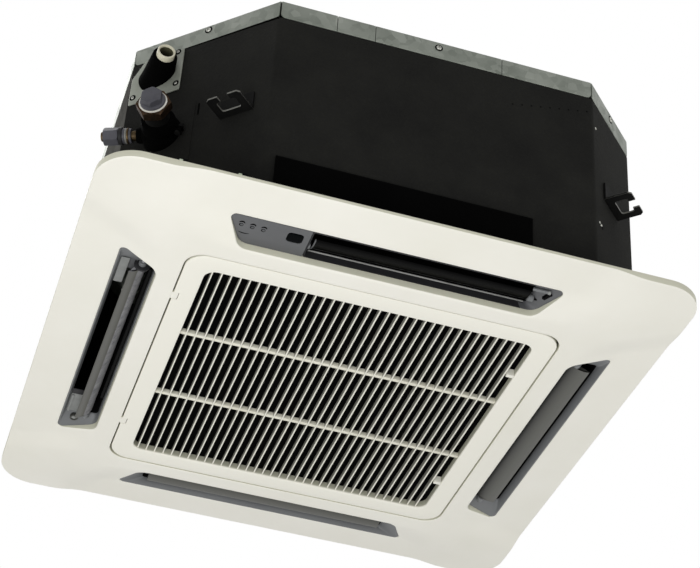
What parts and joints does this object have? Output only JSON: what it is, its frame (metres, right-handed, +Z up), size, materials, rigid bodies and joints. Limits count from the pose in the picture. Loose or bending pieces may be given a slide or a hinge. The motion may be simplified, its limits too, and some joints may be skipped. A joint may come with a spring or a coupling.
{
  "type": "four-way ceiling cassette fan coil unit",
  "caption": "Ceiling cassette fan coil unit: octagonal casing above a square moulded panel with a hinged intake grille, air slots with louvres, hanger brackets and a pipe corner.",
  "frame": {"origin": "middle of the panel's visible face, which is the lowest point of the unit", "axes": "+Z up into the ceiling, -Y towards the side with the indicator plate, -X -Y towards the pipe corner"},
  "size_m": [0.7, 0.7, 0.3324],
  "materials": {
    "panel_white": "satin moulded",
    "insert_grey": "satin moulded",
    "louvre_grey": "satin moulded",
    "window_black": "gloss",
    "filter_black": "mesh",
    "foam_charcoal": "closed-cell foam",
    "galvanised": "hot-dip zinc",
    "bracket_steel": "black",
    "pan_foam": "expanded foam",
    "black_plastic": "matte",
    "flange_grey": "matte",
    "socket_white": "satin",
    "brass": "machined",
    "cap_grey": "matte"
  },
  "bodies": {
    "casing": {"panel": "panel_white", "insert_front": "insert_grey", "insert_right": "insert_grey", "insert_back": "insert_grey", "insert_left": "insert_grey", "indicator_plate": "insert_grey", "receiver_window": "window_black", "wall_front": "foam_charcoal", "corner_wall_front_right": "foam_charcoal", "wall_right": "foam_charcoal", "corner_wall_back_right": "foam_charcoal", "wall_back": "foam_charcoal", "corner_wall_back_left": "foam_charcoal", "wall_left": "galvanised", "pipe_corner_wall": "foam_charcoal", "front_foam_pad": "foam_charcoal", "top_plate": "galvanised", "drain_pan_front": "pan_foam", "drain_pan_right": "pan_foam", "drain_pan_back": "pan_foam", "drain_pan_left": "pan_foam", "bell_mouth": "black_plastic", "fan_wheel": "black_plastic", "fan_motor": "bracket_steel", "bracket_pipe": "bracket_steel", "bracket_front_right": "bracket_steel", "bracket_back_right": "bracket_steel", "bracket_back_left": "bracket_steel", "drain_flange": "flange_grey", "drain_socket": "socket_white", "drain_sleeve": "black_plastic", "water_union_cap": "cap_grey", "water_union_nut": "brass", "water_union_stub": "black_plastic", "purge_union_cap": "cap_grey", "purge_union_nut": "brass", "purge_union_stub": "black_plastic"},
    "grille": {"intake_grille": "panel_white", "latch_front": "panel_white", "latch_back": "panel_white", "air_filter": "filter_black"},
    "front_louvre": {"louvre_front": "louvre_grey"},
    "right_louvre": {"louvre_right": "louvre_grey"},
    "back_louvre": {"louvre_back": "louvre_grey"},
    "left_louvre": {"louvre_left": "louvre_grey"}
  },
  "joints": [
    {"name": "grille_hinge", "type": "hinge", "parent": "casing", "child": "grille", "pos_m": [-0.2205, 0, 0.0024], "axis": [0, 1, 0], "range_deg": [0, 90]},
    {"name": "front_louvre_pivot", "type": "hinge", "parent": "casing", "child": "front_louvre", "pos_m": [0, -0.266, 0.0155], "axis": [1, 0, 0], "range_deg": [-12, 30]},
    {"name": "right_louvre_pivot", "type": "hinge", "parent": "casing", "child": "right_louvre", "pos_m": [0.266, 0, 0.0155], "axis": [0, 1, 0], "range_deg": [-12, 30]},
    {"name": "back_louvre_pivot", "type": "hinge", "parent": "casing", "child": "back_louvre", "pos_m": [0, 0.266, 0.0155], "axis": [-1, 0, 0], "range_deg": [-12, 30]},
    {"name": "left_louvre_pivot", "type": "hinge", "parent": "casing", "child": "left_louvre", "pos_m": [-0.266, 0, 0.0155], "axis": [0, -1, 0], "range_deg": [-38, 4]}
  ]
}
